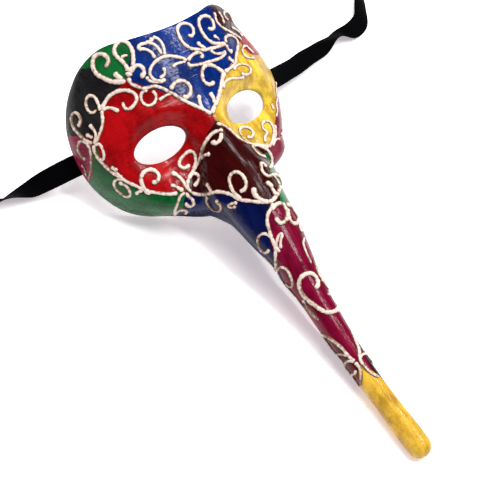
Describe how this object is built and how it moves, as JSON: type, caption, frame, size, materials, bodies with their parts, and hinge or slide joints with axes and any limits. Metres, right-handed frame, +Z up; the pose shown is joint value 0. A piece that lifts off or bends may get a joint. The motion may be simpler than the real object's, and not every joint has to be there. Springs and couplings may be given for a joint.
{
  "type": "harlequin mask",
  "caption": "Venetian harlequin half mask of papier-mache with a very long nose, open eyes, raised paste scrollwork and black satin ribbon ties.",
  "frame": {"origin": "centre of the mask's box without its ribbons, on the surface it lies on", "axes": "+Y from the nose tip to the forehead, +Z up from the surface, +X to the viewer's right"},
  "size_m": [0.4608, 0.4491, 0.1013],
  "materials": {
    "lacquer": "glossy lacquer over painted papier-mache",
    "satin": "black satin ribbon"
  },
  "bodies": {
    "root": {"mask_shell": "lacquer", "ribbon_left": "satin", "ribbon_coil_left": "satin", "ribbon_right": "satin", "ribbon_coil_right": "satin"}
  },
  "joints": []
}
